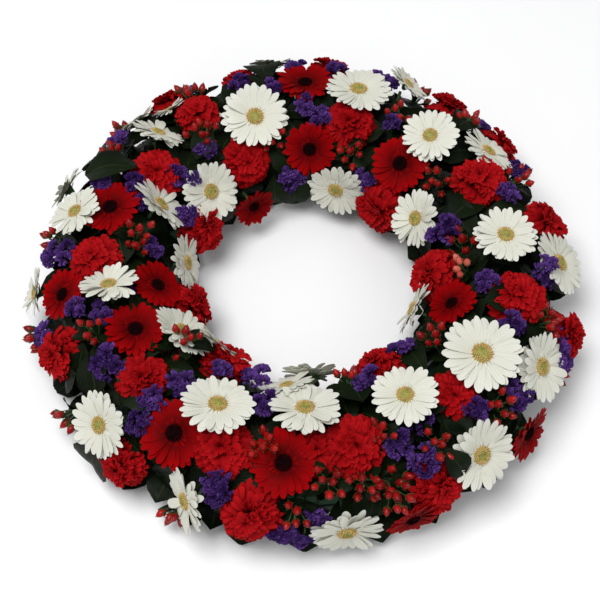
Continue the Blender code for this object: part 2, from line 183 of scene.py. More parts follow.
class Finish:
    """Material with a Principled shader and short ways to add its nodes."""

    def __init__(self, name, colour, roughness, **constants):
        self.material = bpy.data.materials.new(name)
        self.material.use_nodes = True
        self.material.diffuse_color = (*colour, 1.0)
        self.tree = self.material.node_tree
        self.shader = self.tree.nodes["Principled BSDF"]
        self.feed("Base Color", colour)
        self.feed("Roughness", roughness)
        for socket, value in constants.items():
            self.feed(socket.replace("_", " "), value)

    def feed(self, socket, value):
        self.set_input(self.shader.inputs[socket], value)

    def set_input(self, socket, value):
        if isinstance(value, Socket):
            self.tree.links.new(value.link, socket)
        elif isinstance(value, tuple) and len(value) == 3 and socket.type == "RGBA":
            socket.default_value = (*value, 1.0)
        else:
            socket.default_value = value

    def node(self, kind, settings=None, inputs=None, output=0):
        """Output of a new node, with its settings made first and then its inputs."""
        node = self.tree.nodes.new(kind)
        for key, value in (settings or {}).items():
            setattr(node, key, value)
        for key, value in (inputs or {}).items():
            self.set_input(node.inputs[key], value)
        return Socket(self, node.outputs[output])

    def place(self):
        return self.node("ShaderNodeTexCoord", output="Object")

    def across(self):
        return self.petal_axis("X")

    def along(self):
        return self.petal_axis("Y")

    def petal_axis(self, axis):
        """Place across (X) or along (Y) a petal or leaf, from 0 to 1."""
        place = self.node("ShaderNodeUVMap", {"uv_map": "UVMap"})
        return self.node("ShaderNodeSeparateXYZ", inputs={0: place}, output=axis)

    def noise(self, scale, detail=2.0, roughness=0.5):
        return self.node("ShaderNodeTexNoise", inputs={
            "Vector": self.place(), "Scale": scale, "Detail": detail, "Roughness": roughness})

    def spread(self, value, low, high, to_low=0.0, to_high=1.0):
        """Value moved from one range to another, kept inside it."""
        return self.node("ShaderNodeMapRange", {"clamp": True}, {
            0: value, 1: low, 2: high, 3: to_low, 4: to_high})

    def mix(self, share, first, second):
        """Colour between two colours."""
        return self.node("ShaderNodeMix", {"data_type": "RGBA"}, {0: share, 6: first, 7: second}, 2)

    def bump(self, height, strength, distance):
        self.feed("Normal", self.node("ShaderNodeBump", inputs={
            "Strength": strength, "Distance": distance, "Height": height}))


def petal_finish(name, root, middle, edge, roughness, veins, fade=0.32, shine=0.15):
    """Petal that runs from its root colour to its edge colour, with fine lengthwise veins."""
    finish = Finish(name, middle, roughness, Specular_IOR_Level=shine)
    along = finish.along()
    patch = finish.noise(55.0, 3.0)
    shade = finish.mix(finish.spread(along, 0.02, fade), root, middle)
    shade = finish.mix(finish.spread(along + patch * 0.3, 0.75, 1.2), shade, edge)
    ridges = (finish.across() * (FULL_TURN * veins)).sine()
    dark = tuple(channel * 0.72 for channel in middle)
    shade = finish.mix(finish.spread(ridges + patch, 0.6, 1.9, 0.0, 0.28), shade, dark)
    shade = finish.mix(finish.spread(finish.noise(14.0), 0.35, 0.7, 0.0, 0.22), shade, dark)
    finish.feed("Base Color", shade)
    finish.feed("Roughness", finish.spread(patch, 0.3, 0.7, roughness - 0.08, roughness + 0.1))
    finish.bump(ridges * 0.5 + finish.noise(420.0) * 0.4, 0.5, 0.0003)
    return finish.material


def grained_finish(name, dark, light, scale, roughness, bump=0.4, distance=0.0004, **constants):
    """Plain skin with soft patches of a darker and a lighter shade and a fine grain."""
    finish = Finish(name, light, roughness, **constants)
    patch = finish.noise(scale, 3.0)
    grain = finish.noise(scale * 9, 2.0)
    shade = finish.mix(finish.spread(patch, 0.32, 0.68), dark, light)
    finish.feed("Base Color", shade)
    finish.feed("Roughness", finish.spread(grain, 0.3, 0.7, roughness - 0.07, roughness + 0.1))
    finish.bump(grain + patch, bump, distance)
    return finish.material


def leaf_finish():
    """Waxy leaf with a pale midrib, side veins and a shade of its own at each place."""
    # The leaf colours are near black: the leaves' own dark green, darkened further as painted shade for the
    # deep gaps between the flowers
    finish = Finish("leaf_skin_and_painted_shade", (0.005, 0.011, 0.003), 0.5, Specular_IOR_Level=0.08)
    side = abs(finish.across() - 0.5)
    rib = finish.spread(side, 0.0, 0.035, 1.0, 0.0)
    veins = ((finish.along() * 60.0) - (side * 55.0)).sine()
    veins = finish.spread(veins, 0.72, 1.0)
    shade = finish.mix(finish.spread(finish.noise(11.0), 0.35, 0.65),
                       (0.0011, 0.0025, 0.0006), (0.0055, 0.0110, 0.0026))
    shade = finish.mix(finish.spread(finish.noise(90.0, 3.0), 0.55, 0.8, 0.0, 0.35), shade,
                       (0.011, 0.018, 0.0045))
    shade = finish.mix(veins * 0.30, shade, (0.009, 0.018, 0.005))
    shade = finish.mix(rib * 0.70, shade, (0.020, 0.034, 0.010))
    finish.feed("Base Color", shade)
    finish.feed("Roughness", finish.spread(finish.noise(160.0), 0.3, 0.7, 0.42, 0.60))
    finish.bump(rib * 1.0 + veins * 0.4 + finish.noise(300.0) * 0.25, 0.45, 0.0005)
    return finish.material


def statice_finish():
    """Papery violet funnels, bluer and redder in patches, with small paler patches."""
    finish = Finish("statice_paper", (0.09, 0.035, 0.20), 0.7, Specular_IOR_Level=0.10)
    shade = finish.mix(finish.spread(finish.noise(38.0), 0.35, 0.65),
                       (0.036, 0.012, 0.094), (0.115, 0.046, 0.240))
    shade = finish.mix(finish.spread(finish.noise(150.0), 0.55, 0.8, 0.0, 0.5), shade,
                       (0.210, 0.120, 0.390))
    finish.feed("Base Color", shade)
    finish.feed("Roughness", finish.spread(finish.noise(260.0), 0.3, 0.7, 0.5, 0.75))
    finish.bump(finish.noise(700.0, 3.0), 0.5, 0.0004)
    return finish.material


def berry_finish(name, dark, light):
    """Smooth berry skin in two shades, with fine pale specks."""
    finish = Finish(name, light, 0.3, Specular_IOR_Level=0.2)
    shade = finish.mix(finish.spread(finish.noise(75.0), 0.35, 0.65), dark, light)
    shade = finish.mix(finish.spread(finish.noise(600.0, 3.0), 0.6, 0.85, 0.0, 0.3), shade,
                       tuple(min(1.0, channel * 1.5) for channel in light))
    finish.feed("Base Color", shade)
    finish.feed("Roughness", finish.spread(finish.noise(300.0), 0.3, 0.7, 0.18, 0.34))
    finish.bump(finish.noise(500.0), 0.2, 0.0003)
    return finish.material


def foam_finish():
    """Wet green foam with open pores."""
    finish = Finish("soaked_foam", (0.02, 0.06, 0.03), 0.85)
    pores = finish.node("ShaderNodeTexVoronoi", {"feature": "F1"}, {
        "Vector": finish.place(), "Scale": 900.0}, output="Distance")
    shade = finish.mix(finish.spread(finish.noise(30.0, 4.0), 0.3, 0.7),
                       (0.010, 0.040, 0.020), (0.030, 0.090, 0.045))
    finish.feed("Base Color", shade)
    finish.feed("Roughness", finish.spread(pores, 0.0, 0.6, 0.7, 0.95))
    finish.bump(pores, 0.7, 0.0006)
    return finish.material


WHITE = (0.63, 0.63, 0.54)
finishes = {
    "white": petal_finish("white_petal", (0.60, 0.46, 0.22), WHITE, (0.67, 0.67, 0.61), 0.6, 3, 0.22),
    "white_back": petal_finish("white_petal_back", (0.30, 0.33, 0.17), (0.62, 0.62, 0.51),
                               (0.66, 0.66, 0.58), 0.65, 4),
    "scarlet": petal_finish("scarlet_petal", (0.010, 0.0003, 0.0006), (0.180, 0.0005, 0.0012),
                            (0.310, 0.0008, 0.0020), 0.7, 3, 0.55, 0.03),
    "scarlet_back": petal_finish("scarlet_petal_back", (0.070, 0.002, 0.002), (0.14, 0.002, 0.003),
                                 (0.19, 0.003, 0.004), 0.7, 4, 0.4, 0.04),
    # Carnation petals: the near-black root colour is painted shade deep inside the head, and the bright edge
    # colour is a painted highlight on the ruffled lobes
    "carnation": petal_finish("carnation_petal", (0.030, 0.0003, 0.0008), (0.170, 0.0008, 0.0020),
                              (0.410, 0.0050, 0.0072), 0.7, 5, 0.5, 0.05),
    "yellow_floret": grained_finish("yellow_floret", (0.40, 0.25, 0.06), (0.62, 0.44, 0.17), 300.0, 0.7),
    "green_floret": grained_finish("green_floret", (0.20, 0.20, 0.04), (0.38, 0.35, 0.08), 300.0, 0.7),
    "dark_floret": grained_finish("dark_floret", (0.002, 0.0006, 0.0008), (0.008, 0.0012, 0.0016),
                                  260.0, 0.9, Specular_IOR_Level=0.04),
    "wine_floret": grained_finish("wine_floret", (0.005, 0.0006, 0.0010), (0.026, 0.0012, 0.0020),
                                  260.0, 0.9, Specular_IOR_Level=0.04),
    "stem": grained_finish("green_stem", (0.02, 0.045, 0.012), (0.05, 0.10, 0.03), 120.0, 0.55),
    "sepal": grained_finish("green_sepal", (0.020, 0.050, 0.012), (0.060, 0.12, 0.03), 140.0, 0.5),
    "leaf": leaf_finish(),
    "statice": statice_finish(),
    "berry": berry_finish("red_berry", (0.15, 0.003, 0.003), (0.34, 0.008, 0.008)),
    "coral_berry": berry_finish("coral_berry", (0.42, 0.04, 0.03), (0.58, 0.15, 0.10)),
    "berry_tip": grained_finish("berry_tip", (0.03, 0.008, 0.004), (0.10, 0.03, 0.01), 400.0, 0.6),
    "foam": foam_finish(),
    "tray": grained_finish("moulded_tray", (0.008, 0.022, 0.012), (0.018, 0.045, 0.025), 60.0, 0.42,
                           0.25, 0.0002),
    "floor": grained_finish("pale_floor", (0.88, 0.88, 0.88), (0.91, 0.91, 0.91), 2.0, 0.8, 0.05),
}


def deselect_all():
    bpy.ops.object.select_all(action="DESELECT")


def finish_shape(thing, name, *names):
    """Names a new object, gives it its finishes and smooth shading, and returns it."""
    thing.name = name
    thing.data.name = name
    thing.data.materials.clear()
    for each in names:
        thing.data.materials.append(finishes[each])
    deselect_all()
    thing.select_set(True)
    bpy.context.view_layer.objects.active = thing
    bpy.ops.object.shade_smooth_by_angle(angle=SMOOTH_ANGLE)
    return thing


def pick(thing, test):
    """Selects the points of a shape in edit mode that pass a test of their number and place."""
    shape = bmesh.from_edit_mesh(thing.data)
    for vert in shape.verts:
        vert.select = test(vert.index, vert.co)
    shape.select_flush_mode()
    bmesh.update_edit_mesh(thing.data)


def turn(angle, axis, centre):
    """Turns what is selected; with no window the operator turns the other way."""
    bpy.ops.transform.rotate(value=-angle, orient_axis=axis, center_override=centre)


def apply_all(thing):
    bpy.context.view_layer.objects.active = thing
    for modifier in list(thing.modifiers):
        bpy.ops.object.modifier_apply(modifier=modifier.name)


def strip(name, across, widths, length, curls, groove=0.0, round_tip=0.0, pleat=0.0, teeth=0.0):
    """Petal or leaf blank: root at the origin, growing along +Y, curled up row by row."""
    deselect_all()
    rows = len(widths) - 1
    line = across + 1
    bpy.ops.mesh.primitive_grid_add(x_subdivisions=across, y_subdivisions=rows, size=1.0)
    blank = bpy.context.object
    blank.name = name
    bpy.ops.object.mode_set(mode="EDIT")
    bpy.ops.transform.translate(value=(0.0, 0.5, 0.0))
    bpy.ops.transform.resize(value=(1.0, length, 1.0), center_override=ORIGIN)
    for row, width in enumerate(widths):
        pick(blank, lambda number, _: number // line == row)
        bpy.ops.transform.resize(value=(width, 1.0, 1.0), center_override=ORIGIN)
    step = length / rows
    if round_tip:
        pick(blank, lambda number, _: number // line == rows and number % line in (0, across))
        bpy.ops.transform.translate(value=(0.0, -round_tip * step, 0.0))
    if groove:
        pick(blank, lambda number, _: 0 < number % line < across and 0 < number // line < rows)
        bpy.ops.transform.translate(value=(0.0, 0.0, -groove))
    if pleat:
        for row in range(1, rows + 1):
            rise = pleat * row / rows
            pick(blank, lambda number, _: number // line == row and number % line % 2 == 1)
            bpy.ops.transform.translate(value=(0.0, 0.0, rise))
    if teeth:
        pick(blank, lambda number, _: number // line == rows)
        bpy.ops.mesh.subdivide(number_cuts=1)
        pick(blank, lambda number, _: number // line > rows)
        bpy.ops.transform.translate(value=(0.0, teeth, 0.0))
    centre = Vector(ORIGIN)
    for row in range(rows):
        pick(blank, lambda number, _: number // line > row)
        turn(math.radians(curls[min(row, len(curls) - 1)]), "X", centre)
        bpy.ops.object.mode_set(mode="OBJECT")
        first = (row + 1) * line
        ends = [blank.data.vertices[first + i].co for i in (0, across)]
        centre = (ends[0] + ends[1]) / 2
        bpy.ops.object.mode_set(mode="EDIT")
    bpy.ops.object.mode_set(mode="OBJECT")
    return blank


def thicken(blank, thickness, back=False):
    """Gives a blank its wall, downwards; back puts the second finish on its underside."""
    wall = blank.modifiers.new("thickness", "SOLIDIFY")
    wall.thickness = thickness
    wall.offset = -1.0
    wall.material_offset = 1 if back else 0
    wall.material_offset_rim = 0
    deselect_all()
    blank.select_set(True)
    apply_all(blank)
    bpy.ops.object.shade_smooth_by_angle(angle=SMOOTH_ANGLE)


def copy_at(master, matrix):
    """Copy of a shape with its own mesh, put in place."""
    copy = master.copy()
    copy.data = master.data.copy()
    copy.data.transform(matrix)
    bpy.context.scene.collection.objects.link(copy)
    return copy


def join(things, name):
    """One object from many; they are used up."""
    deselect_all()
    for thing in things:
        thing.select_set(True)
    bpy.context.view_layer.objects.active = things[0]
    if len(things) > 1:
        bpy.ops.object.join()
    things[0].name = name
    things[0].data.name = name
    return things[0]


def discard(things):
    for thing in things:
        bpy.data.objects.remove(thing, do_unlink=True)


def spin_z(angle):
    return Matrix.Rotation(angle, 4, "Z")


def tilt_x(angle):
    return Matrix.Rotation(angle, 4, "X")


def scaled(x, y, z):
    return Matrix.Diagonal((x, y, z, 1.0))


def looking(direction):
    """Turn that puts +Z along a direction."""
    return direction.to_track_quat("Z", "Y").to_matrix().to_4x4()


def random_spin():
    """Turn about +Z by any angle."""
    return spin_z(chance.uniform(0, 6.28))


def petal_ring(masters, count, root, height, rise, size, loose, start=0.0, wave=0.0, shingle=0.0):
    """Ring of petals around +Z, uneven in length, width, lift and place; a wave lifts two sides of it.

    With a shingle angle each petal lies over one neighbour and under the other.
    """
    ring = []
    phase = chance.uniform(0, FULL_TURN)
    slack = 0.6 if shingle else 2.0
    for i in range(count):
        angle = start + FULL_TURN * (i + chance.uniform(-PLACE_JITTER, PLACE_JITTER)) / count
        lift = math.radians(rise + chance.uniform(-loose, loose) + wave * math.sin(2 * angle + phase))
        length = size * chance.uniform(*PETAL_LENGTHS)
        width = size * chance.uniform(*PETAL_BREADTHS)
        roll = Matrix.Rotation(math.radians(shingle + slack * chance.uniform(-loose, loose)), 4, "Y")
        yaw = spin_z(math.radians(chance.uniform(-loose, loose)))
        matrix = (spin_z(angle) @ Matrix.Translation((0.0, root, height)) @ yaw @ tilt_x(lift) @ roll
                  @ scaled(width, length, size))
        ring.append(copy_at(chance.choice(masters), matrix))
    return ring


def gerbera_petals(front, back, name):
    """Strap petals with blunt, rounded tips, in a few curls."""
    petals = []
    for i, curls in enumerate(GERBERA_CURLS):
        blank = strip(f"{name}_petal_{i}", 3, GERBERA_WIDTHS, GERBERA_PETAL_LENGTH, curls, round_tip=0.28)
        finish_shape(blank, blank.name, front, back)
        thicken(blank, 0.6 * PETAL_THICKNESS, back=True)
        petals.append(blank)
    return petals


def small_petal(front, back, name):
    """Short petal of the crown beside the eye."""
    blank = strip(name, 1, SMALL_WIDTHS, SMALL_LENGTH, (-8, -8, -8))
    finish_shape(blank, name, front, back)
    thicken(blank, SMALL_PETAL_THICKNESS)
    return blank


def floret_dome(name, radius, inner, outer):
    """Low dome of the eye with its florets as small cones in a sunflower spiral, buds in the middle."""
    deselect_all()
    bpy.ops.mesh.primitive_uv_sphere_add(segments=16, ring_count=8, radius=radius)
    dome = bpy.context.object
    bpy.ops.object.mode_set(mode="EDIT")
    bpy.ops.mesh.select_all(action="SELECT")
    bpy.ops.mesh.bisect(plane_co=(0, 0, 0), plane_no=(0, 0, 1), clear_inner=True, use_fill=True)
    bpy.ops.mesh.select_all(action="SELECT")
    bpy.ops.transform.resize(value=(1.0, 1.0, EYE_FLATNESS), center_override=ORIGIN)
    bpy.ops.object.mode_set(mode="OBJECT")
    finish_shape(dome, name, inner)
    parts = [dome]
    deselect_all()
    bpy.ops.mesh.primitive_cone_add(vertices=5, radius1=0.00110, radius2=0.00050, depth=0.0026)
    cone = finish_shape(bpy.context.object, "floret", outer)
    deselect_all()
    bpy.ops.mesh.primitive_cone_add(vertices=4, radius1=0.00060, radius2=0.00025, depth=0.0014)
    bud = finish_shape(bpy.context.object, "bud", inner)
    for i in range(EYE_CONES):
        share = math.sqrt((i + 0.5) / EYE_CONES)
        height = EYE_FLATNESS * radius * math.sqrt(max(0.0, 1 - share * share)) + 0.0003
        lean = tilt_x(-math.radians(38 * share))
        matrix = spin_z(i * GOLDEN_ANGLE) @ Matrix.Translation((0.0, radius * share, height)) @ lean
        parts.append(copy_at(cone if share > 0.58 else bud, matrix))
    discard([cone, bud])
    return parts


def gerbera(name, petals, small, eye, eye_share, seed, rise, loose):
    """Whole gerbera head at its full radius, face up, with its underside and no stem."""
    chance.seed(seed)
    parts = []
    for count, root, height, added, size, start in GERBERA_RINGS:
        parts += petal_ring(petals, count, root, height, rise + added, size, loose, math.radians(start),
                            wave=6, shingle=5)
    parts += petal_ring([small], 22, 0.0074, 0.0010, 9, 1.0, 5, math.radians(5))
    parts += floret_dome(f"{name}_eye", eye_share * GERBERA_RADIUS, *eye)
    deselect_all()
    bpy.ops.mesh.primitive_cone_add(vertices=12, radius1=0.0026, radius2=0.0082, depth=0.0100,
                                    location=(0.0, 0.0, -0.0062))
    parts.append(finish_shape(bpy.context.object, "calyx", "sepal"))
    bract = strip("bract", 2, (0.0030, 0.0032, 0.0022, 0.0006), 0.0085, (-6, 4, 4))
    finish_shape(bract, "bract", "sepal")
    thicken(bract, PETAL_THICKNESS)
    for i in range(BRACTS):
        angle = FULL_TURN * i / BRACTS
        matrix = spin_z(angle) @ Matrix.Translation((0.0, 0.0050, -0.0048)) @ tilt_x(math.radians(18))
        parts.append(copy_at(bract, matrix))
    discard([bract])
    return join(parts, name)


def carnation_petals():
    """Fans with a toothed, pleated edge."""
    petals = []
    for i, curls in enumerate(FAN_CURLS):
        blank = strip(f"fan_{i}", 8, FAN_WIDTHS, FAN_LENGTH, curls, round_tip=0.35, pleat=0.0024,
                      teeth=0.0016)
        crease = bpy.data.textures.new(f"crease_{i}", "CLOUDS")
        crease.noise_scale = 0.010
        ruffle = blank.modifiers.new("ruffle", "DISPLACE")
        ruffle.texture = crease
        ruffle.texture_coords = "LOCAL"
        ruffle.direction = "Z"
        ruffle.strength = 0.013
        ruffle.mid_level = 0.5
        finish_shape(blank, blank.name, "carnation")
        apply_all(blank)
        thicken(blank, PETAL_THICKNESS)
        petals.append(blank)
    return petals


def carnation(name, petals, seed):
    """Whole carnation head, face up, on its green calyx."""
    chance.seed(seed)
    parts = []
    for number, (count, root, height, rise, size) in enumerate(CARNATION_LAYERS):
        parts += petal_ring(petals, count, root, height, rise, size, loose=12, start=number * 0.7, wave=8)
    deselect_all()
    bpy.ops.mesh.primitive_cone_add(vertices=10, radius1=0.0046, radius2=0.0062, depth=0.018,
                                    location=(0.0, 0.0, -0.0135))
    parts.append(finish_shape(bpy.context.object, "calyx", "sepal"))
    return join(parts, name)


def statice_patch(name, seed):
    """Close combs of small papery cups."""
    chance.seed(seed)
    deselect_all()
    bpy.ops.mesh.primitive_cone_add(vertices=5, radius1=0.0005, radius2=0.0018, depth=0.0048)
    cup = bpy.context.object
    bpy.ops.object.mode_set(mode="EDIT")
    pick(cup, lambda number, place: place.z > 0)
    bpy.ops.mesh.inset(thickness=0.0004)
    bpy.ops.transform.translate(value=(0.0, 0.0, -0.0024))
    bpy.ops.transform.resize(value=(0.4, 0.4, 1.0), center_override=ORIGIN)
    pick(cup, lambda number, place: place.z > 0.0020 and number % 4 == 1)
    bpy.ops.transform.translate(value=(0.0, 0.0, 0.0008))
    bpy.ops.object.mode_set(mode="OBJECT")
    finish_shape(cup, "cup", "statice")
    parts = []
    for comb in range(STATICE_COMBS):
        heading = FULL_TURN * (comb + chance.uniform(-0.3, 0.3)) / STATICE_COMBS
        reach = chance.uniform(0.0050, 0.0085)
        middle = Vector((reach * math.cos(heading), reach * math.sin(heading),
                         chance.uniform(-0.004, 0.003)))
        for _ in range(STATICE_FLORETS // STATICE_COMBS):
            away = Vector((chance.gauss(0, 1), chance.gauss(0, 1), chance.gauss(0.9, 0.7))).normalized()
            spot = middle + Vector((away.x * COMB_RADIUS, away.y * COMB_RADIUS, away.z * COMB_RISE))
            size = chance.uniform(0.75, 1.2)
            matrix = Matrix.Translation(spot) @ looking(away) @ random_spin() @ scaled(size, size, size)
            parts.append(copy_at(cup, matrix))
    discard([cup])
    return join(parts, name)


def stem_between(start, end, radius, sides=6):
    """Green stem between two points, a little thinner at its upper end."""
    along = end - start
    deselect_all()
    bpy.ops.mesh.primitive_cone_add(vertices=sides, radius1=radius, radius2=radius * 0.8,
                                    depth=along.length)
    stem = finish_shape(bpy.context.object, "stem", "stem")
    stem.data.transform(Matrix.Translation((start + end) / 2) @ looking(along.normalized()))
    return stem


def berry_model(skin):
    """Egg-shaped berry with a dark tip and five sepals at its base, growing along +Z."""
    deselect_all()
    bpy.ops.mesh.primitive_uv_sphere_add(segments=10, ring_count=8, radius=BERRY_RADIUS)
    berry = bpy.context.object
    bpy.ops.object.mode_set(mode="EDIT")
    bpy.ops.mesh.select_all(action="SELECT")
    bpy.ops.transform.resize(value=(1.0, 1.0, BERRY_STRETCH), center_override=ORIGIN)
    pick(berry, lambda number, place: place.z > 0.0012)
    bpy.ops.transform.resize(value=(0.92, 0.92, 1.0), center_override=ORIGIN)
    pick(berry, lambda number, place: place.z > 0.0045)
    bpy.ops.transform.translate(value=(0.0, 0.0, 0.0004))
    bpy.ops.object.mode_set(mode="OBJECT")
    finish_shape(berry, "berry", skin)
    deselect_all()
    bpy.ops.mesh.primitive_cone_add(vertices=5, radius1=0.0006, radius2=0.0002, depth=0.0014,
                                    location=(0.0, 0.0, 0.0062))
    tip = finish_shape(bpy.context.object, "tip", "berry_tip")
    parts = [berry, tip]
    sepal = strip("sepal", 2, (0.0012, 0.0028, 0.0006), 0.0062, (28, 10))
    finish_shape(sepal, "sepal", "sepal")
    thicken(sepal, SMALL_PETAL_THICKNESS)
    for i in range(5):
        angle = FULL_TURN * i / 5
        matrix = spin_z(angle) @ Matrix.Translation((0.0, 0.0010, -0.0050)) @ tilt_x(math.radians(24))
        parts.append(copy_at(sepal, matrix))
    discard([sepal])
    return join(parts, "berry_" + skin)


def berry_spray(name, seed, berry, count, spread_out):
    """Forked green twigs with a berry on each end and a few small leaves below."""
    chance.seed(seed)
    parts = []
    for i in range(count):
        angle = FULL_TURN * i * 0.382 + chance.uniform(-0.3, 0.3)
        away = spread_out * math.sqrt((i + 0.4) / count)
        end = Vector((away * math.cos(angle), away * math.sin(angle),
                      chance.uniform(-0.006, 0.003) - away * 0.25))
        facing = (end - SPRAY_FORK).normalized()
        parts.append(stem_between(SPRAY_FORK, end - facing * 0.004, TWIG, 5))
        size = chance.uniform(0.88, 1.12)
        matrix = Matrix.Translation(end) @ looking(facing) @ random_spin() @ scaled(size, size, size)
        parts.append(copy_at(berry, matrix))
    for i in range(SPRAY_LEAVES):
        heading = spin_z(FULL_TURN * (i + chance.uniform(-0.2, 0.2)) / SPRAY_LEAVES)
        lean = tilt_x(math.radians(chance.uniform(15, 45)))
        matrix = heading @ Matrix.Translation((0.0, 0.0010, -0.020)) @ lean
        size = SPRAY_LEAF_SIZE
        parts.append(copy_at(leaves[i], matrix @ scaled(size, size, size)))
    return join(parts, name)


def leaf_models():
    """Broad pointed leaves, folded a little along the midrib."""
    blanks = []
    across = 4
    for i, (widths, curls) in enumerate(LEAF_SHAPES):
        widths = [LEAF_WIDTH * width for width in widths]
        blank = strip(f"leaf_{i}", across, widths, LEAF_LENGTH, curls, groove=0.0008)
        bpy.context.view_layer.objects.active = blank
        bpy.ops.object.mode_set(mode="EDIT")
        pick(blank, lambda number, _: number % (across + 1) == across // 2)
        bpy.ops.transform.translate(value=(0.0, 0.0, -0.0022))
        bpy.ops.object.mode_set(mode="OBJECT")
        finish_shape(blank, blank.name, "leaf")
        thicken(blank, LEAF_THICKNESS)
        blanks.append(blank)
    return blanks


def node_points(name):
    """Corner points of a CAD node, each once."""
    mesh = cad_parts[name].data
    points = np.empty(len(mesh.vertices) * 3)
    mesh.vertices.foreach_get("co", points)
    return np.unique(np.round(points.reshape(-1, 3), 6), axis=0)


# The foam ring, which carries the flowers
foam_points = node_points("foam_ring")
foam_radii = np.hypot(foam_points[:, 0], foam_points[:, 1])
FOAM_OUTER = float(foam_radii.max())
FOAM_INNER = float(foam_radii.min())
FOAM_TOP = float(foam_points[:, 2].max())
RING_RADIUS = (FOAM_OUTER + FOAM_INNER) / 2


def outward(clock, lean):
    """Direction that leans outwards from straight up, at a clock angle."""
    turned = math.radians(clock)
    return Vector((math.sin(lean) * math.sin(turned), math.sin(lean) * math.cos(turned), math.cos(lean)))


def bloom_point(clock, section, lift=0.0, share=1.0):
    """Point of the bloom surface, and the direction that it faces there."""
    turned = math.radians(clock)
    angle = math.radians(section)
    half = BLOOM_HALF_WIDTH * share
    rise = (BLOOM_TOP_Z - BLOOM_WIDEST_Z) * share
    radius = RING_RADIUS + half * math.sin(angle)
    point = Vector((radius * math.sin(turned), radius * math.cos(turned),
                    BLOOM_WIDEST_Z + rise * math.cos(angle)))
    lean = math.atan2(math.sin(angle) * rise, math.cos(angle) * half)
    facing = outward(clock, lean)
    return point + facing * lift, facing


def head_of(node):
    """Middle, direction, radius and stem foot of a CAD flower, from its own points."""
    points = node_points(node)
    gaps = np.linalg.norm(points - np.median(points, axis=0), axis=1)
    near = points[gaps < HEAD_SPAN] if "gerbera" in node else points
    for _ in range(5):
        middle = near.mean(axis=0)
        values, vectors = np.linalg.eigh(np.cov((near - middle).T))
        axis = vectors[:, 0 if values[1] - values[0] > values[2] - values[1] else 2]
        along = (points - middle) @ axis
        if "gerbera" in node:
            near = points[np.abs(along - np.median(along)) < HEAD_DEPTH]
    away = np.linalg.norm(points - middle - np.outer(along, axis), axis=1)
    beside = np.abs(along - np.median(along)) < HEAD_DEPTH * 2
    rim = beside & (away > RIM_SHARE * away[beside].max())
    level = along[rim].mean()
    if abs(along.max() - level) > abs(along.min() - level):
        axis = -axis
        along = -along
        level = -level
    foot = points[along.argsort()[:FOOT_POINTS]].mean(axis=0)
    return Vector(middle + axis * level), Vector(axis), float(away[rim].max()), Vector(foot)


def foam_reach(point, facing):
    """Length from a head back to the foam, plus what goes into it."""
    length = 0.0
    while length < LONGEST_STEM:
        spot = point - facing * length
        radius = math.hypot(spot.x, spot.y)
        if FOAM_INNER < radius < FOAM_OUTER and spot.z < FOAM_TOP:
            break
        length += FOAM_STEP
    return length + STEM_IN_FOAM


def beside_heads(point, room):
    """Place of a sprig, moved beside a head that it nearly clears or below one that covers it."""
    for middle, facing, radius in heads:
        gap = point - middle
        height = gap.dot(facing)
        aside = gap - facing * height
        if aside.length > radius + room or abs(height) > HEAD_REACH:
            continue
        if aside.length > radius - RIM_OVERLAP:
            point = middle + facing * height + aside.normalized() * (radius + room)
        elif height > -BELOW_HEAD:
            point = point - facing * (height + BELOW_HEAD)
    return point


def ride_in(piece, node=None):
    """Puts a piece on the wreath's one body, in place of a CAD node if one is given."""
    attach(piece, "root")
    if node:
        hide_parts(node)


def put_head(master, name, point, facing, size, foot, stem_radius, node=None):
    """Flower head turned at random about its own axis, with a stem from its neck to its foot."""
    heads.append((point, facing, size * (CARNATION_RADIUS if "carnation" in name else GERBERA_RADIUS)))
    spun = spin_z(chance.uniform(0, FULL_TURN))
    head = copy_at(master, Matrix.Translation(point) @ looking(facing) @ spun @ scaled(size, size, size))
    stem = stem_between(foot, point - facing * NECK_DEPTH, stem_radius, 8)
    ride_in(join([head, stem], name), node)


def put_sprig(model, name, point, facing, size, node=None):
    """Sprig on one stem that reaches down into the foam."""
    length = foam_reach(point, facing)
    place = Matrix.Translation(point) @ looking(facing)
    top = copy_at(model, place @ random_spin() @ scaled(size, size, size))
    stem = stem_between(point - facing * length, point - facing * 0.004, SPRIG_STEM)
    ride_in(join([top, stem], name), node)


def more_heads(rows, masters, name, model_radius, stem_radius):
    """Heads of a table, each on a straight stem from its neck down into the foam."""
    for number, (clock, section, radius, lift, lean_out, lean_along) in enumerate(rows, 1):
        point, upwards = bloom_point(clock, section, lift / 1000)
        tilt = math.atan2(math.hypot(upwards.x, upwards.y) * (1 if section > 0 else -1), upwards.z)
        aside = math.radians(lean_along)
        facing = (outward(clock, tilt + math.radians(lean_out)) * math.cos(aside)
                  + outward(clock + 90, math.pi / 2) * math.sin(aside))
        neck = point - facing * NECK_DEPTH
        foot = neck - upwards * foam_reach(neck, upwards)
        put_head(chance.choice(masters), f"{name}_{number:02d}", point, facing,
                 radius / 1000 / model_radius, foot, stem_radius)


def leaf_at(point, direction, facing, length, width):
    """One leaf from its root, along a direction, with its upper side to one side."""
    side = direction.cross(facing).normalized()
    up = side.cross(direction).normalized()
    axes = Matrix((side, direction, up)).transposed().to_4x4()
    size = scaled(width, length / LEAF_LENGTH, 1.0)
    return copy_at(chance.choice(leaves), Matrix.Translation(point) @ axes @ size)


def clear_of_heads(root, blade, facing):
    """Root of a leaf, sunk until the blade passes below every head that it would come through."""
    sink = 0.0
    for share in (0.0, 0.25, 0.5, 0.75, 1.0):
        for middle, look, radius in heads:
            gap = root + blade * share - middle
            height = gap.dot(look)
            if (gap - look * height).length < radius and -BLADE_GAP < height < HEAD_REACH:
                sink = max(sink, height + BLADE_GAP)
    return root - facing * sink


